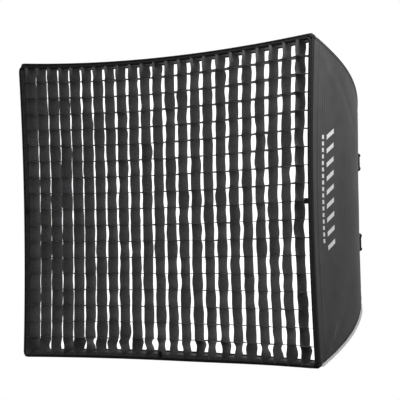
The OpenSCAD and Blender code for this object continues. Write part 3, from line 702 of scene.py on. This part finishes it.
def rod_frame(t):
    """Centre, direction and outward normal of the top right rod at each t."""
    t = np.asarray(t, float)
    d, w = curve(t)
    a = slope(t)
    centre = np.stack([ROD_X - w, FRONT_Y + d, ROD_Z - w], -1)
    along = np.stack([-np.sin(a), np.cos(a), -np.sin(a)], -1)
    along /= np.linalg.norm(along, axis=-1, keepdims=True)
    return centre, along, np.cross(ACROSS, along)


def corner_object(name, shape, corner, material, slot, **kw):
    """A shell piece made for the top right corner, mirrored to another corner."""
    sx, sz = SIGN[corner]
    mirrored = np.asarray(shape[0]) * np.array([sx, 1, sz])
    return new_object(name + "_" + corner, (mirrored, shape[1]), material, "shell", slot, **kw)


def rod_ring(t, radius, angles):
    """Grid of points (angle, along) round the rod; angle 0 is outward."""
    centre, along, out = rod_frame(t)
    r = np.broadcast_to(radius, (len(angles), len(t)))[..., None]
    c, s = np.cos(angles)[:, None, None], np.sin(angles)[:, None, None]
    return centre[None] + r * (c * out[None] + s * ACROSS)


def make_rod(corner):
    centre, along, _ = rod_frame(np.linspace(t_at(0.0022), 1, 120))
    line = np.concatenate([centre, centre[-1:] + along[-1:] * FERRULE_IN])
    corner_object("rod_steel", tube(line, ROD_R, sides=24), corner, ROD_STEEL, "spring_rod",
                  replaces=("rod_" + corner,))


def make_sleeve(corner):
    """The sewn tunnel round a rod, a little gathered, with the seam's ridge outward and thicker ends."""
    angles = np.linspace(0, 2 * math.pi, 28, endpoint=False)
    run = np.linspace(0, 1, 150)[None, :]
    gather = 0.00022 * ripple(run * 0.7, np.broadcast_to(angles[:, None] / 20, (28, 150)), 0.022, 5)
    ridge = 0.0007 * np.exp(-((np.minimum(angles, 2 * math.pi - angles)) / 0.22) ** 2)[:, None]
    ends = 0.0005 * (smooth(-run, -0.012, -0.004) + smooth(run, 0.988, 0.996))
    ring = rod_ring(np.linspace(t_at(0.016), 0.955, 150), SLEEVE_R + gather + ridge + ends, angles)
    corner_object("sleeve", slab(ring, SLEEVE_T, loop_u=True), corner, SLEEVE, "black_webbing",
                  replaces=("rod_sleeve_" + corner,))


def make_piping(corner):
    """A corded strip in the seam: light and standing out at the bottom corners, black and low at the top. Its
    light grey at the bottom is painted sheen: the grazing reflection of the bright floor, given as the strip's
    colour.
    """
    # the bottom corners take the light grey, painted sheen; the top ones take the black sleeve cloth
    light = corner in ("bl", "br")
    start, end, stand, bead_r = ((t_at(0.0105), t_at(0.37), 0.0062, 0.0013) if light
                                 else (t_at(0.018), t_at(0.44), 0.0014, 0.0010))
    run = np.linspace(0, 1, 140)
    centre, _, out = rod_frame(start + run * (end - start))
    reach = stand * np.sin(np.clip(np.minimum(60 * run, 12 * (1 - run)), 0, math.pi / 2))
    wide = np.linspace(0, 1, 5)
    piping = Build()
    grid = centre[:, None] + out[:, None] * (0.0050 + reach[:, None, None] * wide[None, :, None])
    piping.add(*slab(grid + ACROSS * 0.0006, 0.0012))
    piping.add(*tube(centre + out * (0.0050 + reach[:, None]), bead_r, sides=8))
    corner_object("seam_piping", piping.shape(), corner, PIPING_PAINTED_SHEEN if light else SLEEVE, "black_webbing")


def make_rods():
    for corner in CORNERS:
        make_rod(corner)
        make_sleeve(corner)
        make_piping(corner)
        stitching = Build()
        for angle in (0.75, -0.75):
            centre, _, out = rod_frame(np.linspace(t_at(0.020), 0.945, 220))
            normal = math.cos(angle) * out + math.sin(angle) * ACROSS
            stitch_row(stitching, centre + normal * 0.0055, normal, pitch=0.0046, length=0.0030)
        corner_object("sleeve_stitches", stitching.shape(), corner, THREAD, "black_webbing")
        make_pocket(corner)


# Section of a corner pocket, in millimetres: (along the rod, radius)
POCKET = [(-3.0, 1.2), (-2.9, 3.5), (-2.2, 5.5), (-0.8, 6.8), (1.2, 7.4), (4, 7.5), (8, 7.4), (11, 7.5),
          (12.5, 7.9), (15, 7.9), (16.2, 7.2)]


def make_pocket(corner):
    """A bound webbing cap over the rod's front end, gathered a little where it is sewn."""
    angles = np.linspace(0, 2 * math.pi, 36, endpoint=False)
    centre, along, out = (a[0] for a in rod_frame([0.0]))
    profile = np.array(POCKET) * MM
    puckers = 1 + 0.02 * np.sin(9 * angles)[:, None] * np.linspace(1, 0.2, len(profile))[None]
    ring = np.cos(angles)[:, None, None] * out + np.sin(angles)[:, None, None] * ACROSS
    grid = centre + along * profile[None, :, :1] + ring * (profile[None, :, 1] * puckers)[..., None]
    pocket = Build()
    pocket.add(*slab(grid, 0.0016, loop_u=True))
    cap = centre + along * (-0.0030) + ring[:, 0] * 0.0014
    tip = len(cap)
    lid = np.concatenate([cap, cap + along * 0.0012, [centre - along * 0.0033], [centre - along * 0.0018]])
    faces = []
    for k in range(tip):
        m = (k + 1) % tip
        faces += [[k, m, 2 * tip], [m + tip, k + tip, 2 * tip + 1], [k, k + tip, m + tip, m]]
    pocket.add(lid, faces)
    row = centre + along * 0.0138 + ring[:, 0] * 0.0080
    stitch_row(pocket, np.concatenate([row, row[:2]]), np.concatenate([ring[:, 0], ring[:2, 0]]), pitch=0.0035,
               length=0.0024)
    corner_object("pocket", pocket.shape(), corner, WEBBING, "black_webbing",
                  replaces=("corner_pocket_" + corner,))


def tape_box(low, high, seed, crown=0.00035):
    """A short flat webbing piece between two corners of a box, rounded at its edges."""
    low, high = np.array(low, float), np.array(high, float)
    size = high - low
    thin = int(np.argmin(size))
    axes = [k for k in range(3) if k != thin]
    nu, nv = (max(4, int(size[k] / 0.006)) for k in axes)
    u, v = np.linspace(0, 1, nu)[:, None], np.linspace(0, 1, nv)[None, :]
    round_off = np.minimum(1, 8 * np.minimum(np.minimum(u, 1 - u), np.minimum(v, 1 - v)) + 0.35)
    p = np.zeros((nu, nv, 3))
    p[..., axes[0]] = low[axes[0]] + u * size[axes[0]]
    p[..., axes[1]] = low[axes[1]] + v * size[axes[1]]
    bend = crown * ripple(u * size[axes[0]], v * size[axes[1]], 0.03, seed)
    top, base = p.copy(), p.copy()
    top[..., thin] = low[thin] + size[thin] * (0.5 + 0.5 * round_off) + bend * round_off
    base[..., thin] = low[thin] + size[thin] * (0.5 - 0.5 * round_off) + bend * round_off
    verts = np.concatenate([top.reshape(-1, 3), base.reshape(-1, 3)])
    return verts, skin_faces(nu, nv)


def solids_of(node):
    """Boxes of a CAD node's separate solids, by splitting its mesh into linked parts."""
    form = bmesh.new()
    form.from_mesh(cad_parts[node].data)
    bmesh.ops.remove_doubles(form, verts=form.verts, dist=1e-6)
    left, boxes = set(form.verts), []
    while left:
        stack, seen = [left.pop()], []
        while stack:
            vert = stack.pop()
            seen.append(vert)
            for edge in vert.link_edges:
                other = edge.other_vert(vert)
                if other in left:
                    left.remove(other)
                    stack.append(other)
        co = np.array([v.co for v in seen])
        boxes.append((co.min(0), co.max(0)))
    form.free()
    return sorted(boxes, key=lambda b: tuple(np.round(b[0], 4)))


def box_stitches(build, low, high, thin, front, inset=0.003):
    """A stitched rectangle on one face of a flat piece."""
    axes = [k for k in range(3) if k != thin]
    a0, a1 = low[axes[0]] + inset, high[axes[0]] - inset
    b0, b1 = low[axes[1]] + inset, high[axes[1]] - inset
    if a1 - a0 < 0.004 or b1 - b0 < 0.004:
        return
    corners = [(a0, b0), (a1, b0), (a1, b1), (a0, b1), (a0, b0)]
    normal = np.zeros(3)
    normal[thin] = 1 if front else -1
    for (p0, q0), (p1, q1) in zip(corners, corners[1:]):
        n = 24
        line = np.zeros((n, 3))
        line[:, axes[0]] = np.linspace(p0, p1, n)
        line[:, axes[1]] = np.linspace(q0, q1, n)
        line[:, thin] = (high if front else low)[thin] + normal[thin] * 0.0001
        stitch_row(build, line, np.tile(normal, (n, 1)), pitch=0.0035, length=0.0024)


def make_rear_hem():
    build, stitching = Build(), Build()
    for k, (low, high) in enumerate(solids_of("rear_hem")):
        build.add(*tape_box(low, high, 70 + k))
        thin = int(np.argmin(high - low))
        box_stitches(stitching, low, high, thin, (low + high)[thin] > 0)
    build.object("rear_hem_tape", WEBBING, "shell", "black_webbing", replaces=("rear_hem",), sharp=60)
    stitching.object("rear_hem_stitches", THREAD, "shell", "black_webbing")


# ---------------------------------------------------------------- inner baffle and front diffuser

CLOTH_T = 0.5 * MM
BAFFLE_INSET, BAFFLE_CUT, BAFFLE_BIND = 30 * MM, 30 * MM, 14 * MM
DIFFUSER_INSET, DIFFUSER_HEM = 3 * MM, 13 * MM


def cut_corners(x, z, half_x, half_z, cut):
    """Moves the corners of a rectangular grid of points in to a slanting cut."""
    over = np.maximum(np.abs(x) + np.abs(z) - (half_x + half_z - cut), 0) / 2
    return x - np.sign(x) * over, z - np.sign(z) * over


def cloth_plane(y, depth, inset, cut, nu, nv, relief, seed):
    """A cloth stretched across the box, a little slack in the middle and drawn at its edges."""
    u, v = np.linspace(-1, 1, nu)[:, None], np.linspace(-1, 1, nv)[None, :]
    x, z = front_warp(u, v, inset, depth)
    w = inward(depth)
    x, z = cut_corners(x, z, ROD_X - w - inset, ROD_Z - w - inset, cut)
    x, z = np.broadcast_arrays(x, z)
    middle = (1 - u ** 2) * (1 - v ** 2)
    pull = ripple(x * (1 + 0.5 * np.abs(u)), z, 0.12, seed) * np.maximum(np.abs(u), np.abs(v)) ** 2
    return slab(np.stack([x, y + relief * (0.5 * pull + 0.9 * middle), z], -1), CLOTH_T)


def outline_ring(half_x, half_z, bows, cut, drop=0.0, rounded=True):
    """Points round a bowed rectangle with round or slanting corners, anticlockwise, as (x, z)."""
    cu, cv = cut / half_x, cut / half_z
    points = []
    for k in range(4):
        c = cu if k % 2 == 0 else cv
        run = np.linspace(-1 + c, 1 - c, 60)
        u, v = ((run, -1 + 0 * run), (1 + 0 * run, run), (-run, 1 + 0 * run), (-1 + 0 * run, -run))[k]
        points.append(np.stack(warp(u, v, half_x, half_z, *bows), -1))
    bend = np.linspace(0, 1, 9)[1:-1, None]
    for k, corner in enumerate(((1, -1), (1, 1), (-1, 1), (-1, -1)) if rounded else ()):
        tip = np.array(warp(*corner, half_x, half_z, *bows))
        start, end = points[2 * k][-1], points[(2 * k + 1) % len(points)][0]
        points.insert(2 * k + 1, start * (1 - bend) ** 2 + 2 * tip * bend * (1 - bend) + end * bend ** 2)
    ring = np.concatenate(points)
    ring[:, 1] -= drop
    return ring


def section_ring(depth, inset, cut):
    w = inward(depth)
    return outline_ring(ROD_X - w - inset, ROD_Z - w - inset, bows_at(depth), cut, rounded=False)


def ring_blend(outer, inner, k, y):
    """A ring between two rings, in the plane at y."""
    return np.stack([outer[:, 0] * (1 - k) + inner[:, 0] * k, np.full(len(outer), y),
                     outer[:, 1] * (1 - k) + inner[:, 1] * k], -1)


def make_diffuser():
    depth = DIFFUSER_Y - FRONT_Y + 0.0008
    shape = cloth_plane(DIFFUSER_Y + 0.0002, depth, DIFFUSER_INSET, 0.012, 90, 70, 0.0011, 91)
    cloth = new_object("diffuser_sheet", shape, LIT_CLOTH, "front_diffuser", "white_cloth",
                       replaces=("diffuser_cloth",))
    hook = make_hook_band("diffuser_hook_band", "front_diffuser", 0.034, 0.058, "diffuser_hook_tape", 41)


def make_baffle():
    depth = BAFFLE_Y - FRONT_Y
    shape = cloth_plane(BAFFLE_Y + 0.0002, depth, BAFFLE_INSET, BAFFLE_CUT, 70, 50, 0.0007, 92)
    cloth = new_object("baffle_sheet", shape, BAFFLE_CLOTH, "inner_baffle", "white_cloth",
                       replaces=("baffle_cloth",))
    outer = section_ring(depth, BAFFLE_INSET - 0.0008, BAFFLE_CUT)
    inner = section_ring(depth, BAFFLE_INSET + BAFFLE_BIND, BAFFLE_CUT)
    levels = ((0.0, 0.0012), (0.0, -0.0010), (0.06, -0.0021), (0.5, -0.0023), (0.94, -0.0021), (1.0, -0.0012))
    grid = np.stack([ring_blend(outer, inner, k, BAFFLE_Y + rise) for k, rise in levels], 1)
    bind = new_object("baffle_edge_binding", slab(grid, TAPE_T, loop_u=True, flip=True), WEBBING,
                      "inner_baffle", "black_webbing", replaces=("baffle_binding",))
    stitching, tabs, loops = Build(), Build(), Build()
    for k in (0.22, 0.8):
        line = ring_blend(outer, inner, k, BAFFLE_Y - 0.0024)
        stitch_row(stitching, line, np.tile([0, -1, 0], (len(line), 1)))
    for k, (low, high) in enumerate(solids_of("baffle_tabs")):
        tabs.add(*tape_box(low, high, 20 + k, 0.0002))
        box_stitches(stitching, low, high, 1, False)
    for side in SIDES:
        make_pads(loops, side)
    tab = tabs.object("baffle_tab_tapes", WEBBING, "inner_baffle", "black_webbing", replaces=("baffle_tabs",),
                      sharp=60)
    thread = stitching.object("baffle_stitches", THREAD, "inner_baffle", "black_webbing")
    loops.object("baffle_loop_pads", LOOP, "shell", "loop_webbing", replaces=("baffle_loops",))


def make_pads(build, side):
    """Loop pads sewn to the lining, where the baffle's tabs hold."""
    depth = BAFFLE_Y - FRONT_Y
    across = halves(side)[0] - inward(depth)
    places = (-0.6, 0, 0.6) if side in ("top", "bottom") else (-0.5, 0.5)
    for place in places:
        middle = place * (across - BAFFLE_INSET) / across
        half = 0.0125 / across
        build.add(*band_on(side, depth - 0.008, depth + 0.008, 0.0026, 0.0016, 0.0, rows=6, cols=8,
                           v0=middle - half, v1=middle + half))


# ---------------------------------------------------------------- grid

STRIP_T, STRIP_DEPTH = 0.0008, STRIP_BACK - STRIP_FRONT
TAIL = 0.008            # how far a strip's loose front corner hangs over the bottom border
FRONT_LIFT = 0.0014     # a level strip's front edge above its rear edge
TWIST = 0.0020          # sideways travel of an upright strip's rear edge: to +X at the left, then to -X
BOTTOM_BULGE = 0.0070   # widest slack bulge of an upright strip in its lowest cell
EDGE_FRONT = BORDER_FRONT + 0.009               # where the outermost strips meet the border
LEAN_FRONT, LEAN_SIDE, LEAN_BACK = 0.0070, 0.0098, 0.0020     # how far they lean out of the lattice's outline
BORDER_ROUND, BORDER_DROP, BORDER_T = 0.016, 0.0025, 0.0008
BEAD_WIDE, BEAD_HIGH = 0.0042, 0.0026           # half sizes of the rolled edge's section
PULL_HALF, PULL_T = 0.0078, 0.0006
BORDER_SAG = 0.0035     # how far its bottom and left edges hang out, and twice that at the bottom left


def grid_point(i, j):
    u = np.clip(PITCH_X * (i - COLS / 2) / GRID_X, -1, 1)
    v = np.clip(PITCH_Z * (j - ROWS / 2) / GRID_Z, -1, 1)
    p = np.array(warp(u, v, GRID_X, GRID_Z, *bows_at(0)))
    if 0 < i < COLS:
        p[0] -= smooth(u, 0.7, 0.96) * (0.003 + 0.004 * smooth(-v, -0.3, 0.4))      # drawn in at the right
    return p


def make_strip(build, kind, index, rng):
    """One cloth strip of the grid: held at its crossings, slack between them, standing out of the border."""
    steps, layers = 8, 6
    upright = kind == "vertical"
    cells, count = (ROWS, COLS) if upright else (COLS, ROWS)
    outermost = index in (0, count)
    loose = 0.0013 + 0.0009 * index / count if upright else 0.0009
    slack, jitter = (0.0004, 0.0001) if outermost else (loose, 0.0007 if upright else 0.0006)
    knots = np.array([grid_point(index, k) if upright else grid_point(k, index) for k in range(cells + 1)])
    shift = rng.normal(0, jitter, (cells + 1, 2))
    bulge = rng.normal(0, slack, (cells, 2))
    second = rng.normal(0, slack * 0.35, (cells, 2))
    twist = 0.0
    if upright and not outermost:
        bulge[0] = rng.uniform(0.3, 1.0, 2) * BOTTOM_BULGE * rng.choice([-1, 1], 2)
        second[0] = rng.normal(0, 0.0024, 2)
        twist = TWIST * (1 - 2 * smooth(index / count, 0.1, 0.45))
    elif not outermost:
        bulge -= 0.0008
        shift[:, 0] += FRONT_LIFT
    side_of = -1 if index == 0 else 1
    q = np.linspace(0, 1, layers)
    lean_x, lean_z = (front * (1 - q) + LEAN_BACK * q for front in (LEAN_SIDE, LEAN_FRONT))
    rows = []
    for s in np.linspace(0, cells, cells * steps + 1):
        k = min(int(s), cells - 1)
        f = s - k
        base = knots[k] * (1 - f) + knots[k + 1] * f
        near = min(s, cells - s)
        pinned = (shift[k] * (1 - f) + shift[k + 1] * f) * min(1.0, near * 2 + 0.3)
        swing = bulge[k] * math.sin(math.pi * f) + second[k] * math.sin(2 * math.pi * f)
        off = pinned[0] * (1 - q) + pinned[1] * q + swing[0] * (1 - q) + swing[1] * q
        off = off + 0.25 * (swing[0] + swing[1]) * np.sin(math.pi * q) + twist * q
        ahead = 0.0 if outermost else 1.0 if upright else float(smooth(near, 0.0, 0.5))
        front = EDGE_FRONT + (STRIP_FRONT + 0.0006 - EDGE_FRONT) * ahead
        y = front + q * (STRIP_BACK - 0.0006 - front)
        run_out = (lean_z if upright else lean_x) * max(0.0, 1 - 2 * near) * (1 if s > near else -1)
        if outermost:
            off = off + side_of * (lean_x if upright else lean_z)
        elif upright:
            run_out = run_out - TAIL * (1 - q) ** 1.6 * max(0.0, 1 - s / 0.35)
        if upright:
            rows.append(np.stack([base[0] + off, y, base[1] + run_out], -1))
        else:
            rows.append(np.stack([base[0] + run_out, y, base[1] + off], -1))
    p = np.array(rows)
    side = np.zeros(3)
    side[0 if upright else 2] = STRIP_T / 2
    build.add(*slab(p + side, STRIP_T))


def make_grid():
    rng = np.random.default_rng(17)
    for kind, count, span, replaced in (("vertical", COLS, 2 * GRID_Z, ("grid_lattice",)),
                                        ("horizontal", ROWS, 2 * GRID_X, ())):
        build = Build()
        for index in range(count + 1):
            make_strip(build, kind, index, rng)
        strips = build.object("grid_strips_" + kind, STRIP, "grid", "grid_nylon", replaces=replaced)
    make_border()


def make_border():
    """The cloth band from the outermost strips to a rolled edge that covers the shell's rim."""
    outer = outline_ring(ROD_X + 0.003, ROD_Z - 0.0035, bows_at(0), BORDER_ROUND, BORDER_DROP)
    inner = outline_ring(GRID_X + LEAN_SIDE, GRID_Z + LEAN_FRONT, bows_at(0), BORDER_ROUND * 0.8)
    outer[:, 1] -= BORDER_SAG * smooth(-outer[:, 1], 0.2, 0.43) * (1 + smooth(-outer[:, 0], -0.5, -0.1))
    outer[:, 0] -= BORDER_SAG * smooth(-outer[:, 0], 0.3, 0.58)
    pucker = 0.0006 * ripple(outer[:, 0], outer[:, 1], 0.03, 77)
    levels = ((0.0, 0.0022), (0.10, 0.0014), (0.25, 0.0022), (0.5, 0.0044), (0.75, 0.0066), (1.0, 0.0092))
    grid = np.stack([ring_blend(outer, inner, k, BORDER_FRONT) + np.stack(
        [0 * pucker, rise + pucker * math.sin(math.pi * k), 0 * pucker], -1) for k, rise in levels], 1)
    # the band's lighter grey is painted light on its ledge
    new_object("grid_border_band", slab(grid, BORDER_T, loop_u=True, flip=True), BORDER_PAINTED_LIGHT, "grid", "grid_nylon",
               replaces=("grid_border",))

    angle = 2 * math.pi * np.arange(14) / 14
    section = np.stack([np.cos(angle) * BEAD_WIDE, np.sin(angle) * BEAD_HIGH], 1)
    bead = tube(ring_blend(outer, inner, 0.02, BORDER_FRONT + BEAD_HIGH), 1.0, closed=True, profile=section)
    new_object("grid_border_bead", bead, WEBBING, "grid", "black_webbing")

    make_hook_band("grid_hook_band", "grid", -0.0042, 0.022, "grid_hook_tape", 42)
    stitching = Build()
    line = ring_blend(outer, inner, 0.34, BORDER_FRONT + 0.0022)
    stitch_row(stitching, line, np.tile([0, -1, 0], (len(line), 1)), lift=0.0006)
    stitching.object("grid_stitches", THREAD, "grid", "black_webbing")
    make_pulls()


def make_pulls():
    """A folded webbing loop in the middle of each side of the grid."""
    build = Build()
    angle = np.linspace(0, 2 * math.pi, 40, endpoint=False)
    wide = np.linspace(-1, 1, 7) * PULL_HALF
    for low, high in solids_of("grid_pull_tabs"):
        centre, span = (low + high) / 2, high - low
        out, beside = (2, 0) if abs(centre[2]) > abs(centre[0]) else (0, 2)
        way = 1 if centre[out] > 0 else -1
        along = np.cos(angle) * (span[out] / 2 - PULL_T)
        lift = np.sign(np.sin(angle)) * np.abs(np.sin(angle)) ** 0.6 * (span[1] / 2 - 0.0003)
        p = np.zeros((40, 7, 3))
        p[..., out] = (centre[out] + along)[:, None]
        p[..., beside] = (centre[beside] + wide)[None, :]
        p[..., 1] = (centre[1] + lift * (0.62 + way * 0.38 * np.cos(angle)))[:, None]
        build.add(*slab(p, PULL_T, loop_u=True))
    build.object("grid_pull_loops", WEBBING, "grid", "black_webbing", replaces=("grid_pull_tabs",))


# ---------------------------------------------------------------- generic printed mark

MARK_TOP, MARK_LENGTH, MARK_BARS, MARK_BAR, MARK_SLANT = 0.212, 0.345, 9, 0.013, 0.020
MARK_DEPTH = (0.104, 0.152)
DASH_TOP, DASH_LENGTH, DASHES, DASH_SHARE = 0.182, 0.305, 17, 0.62
DASH_DEPTH = (0.074, 0.086)
PRINT_OFF, PRINT_T = 5.55 * MM, 0.12 * MM


def print_bars(build, count, start, pitch, width, depths, slant, n):
    """A column of thin printed bars on the right wall, each n by n points."""
    u, v = np.linspace(0, 1, n)[:, None, None], np.linspace(0, 1, n)[None, :, None]
    front, rear = depths
    for k in range(count):
        x = start + k * pitch
        c = np.array([(x + slant, front), (x, rear), (x + width, rear), (x + slant + width, front)])
        flat = (c[0] * (1 - u) + c[1] * u) * (1 - v) + (c[3] * (1 - u) + c[2] * u) * v
        t = t_at(flat[..., 1])
        place = flat[..., 0] / (halves("right")[0] - curve(t)[1])
        build.add(*slab(wall("right", t, place, PRINT_OFF), PRINT_T, flip=True))


def make_mark():
    """Plain white bars and dashes on the right wall, where a maker would print a name."""
    mark = Build()
    pitch, step = MARK_LENGTH / MARK_BARS, DASH_LENGTH / DASHES
    print_bars(mark, MARK_BARS, -MARK_TOP + 0.25 * pitch, pitch, MARK_BAR, MARK_DEPTH, MARK_SLANT, 12)
    print_bars(mark, DASHES, -DASH_TOP, step, step * DASH_SHARE, DASH_DEPTH, 0.0, 5)
    mark.object("printed_bars", PRINT, "shell", "shell_nylon")


# ---------------------------------------------------------------- CAD pieces that stay

CAD_LOOKS = (
    (FRAME_BLACK, ("frame_rail", "corner_casting", "safety_lug", "latch_t", "latch_b")),
    (STEEL, ("latch_posts", "rail_screws", "socket_screws", "lug_screws", "bracket_screws", "rod_ferrules")),
    (RUBBER, ("rod_tips",)),
)


def dress_cad():
    for name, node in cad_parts.items():
        for material, starts in CAD_LOOKS:
            if name.startswith(starts) and not node.hide_render:
                node.data.materials.clear()
                node.data.materials.append(material)


make_camera()
make_stage()
make_shell()
make_rods()
make_rear_hem()
make_diffuser()
make_baffle()
make_grid()
make_mark()
dress_cad()
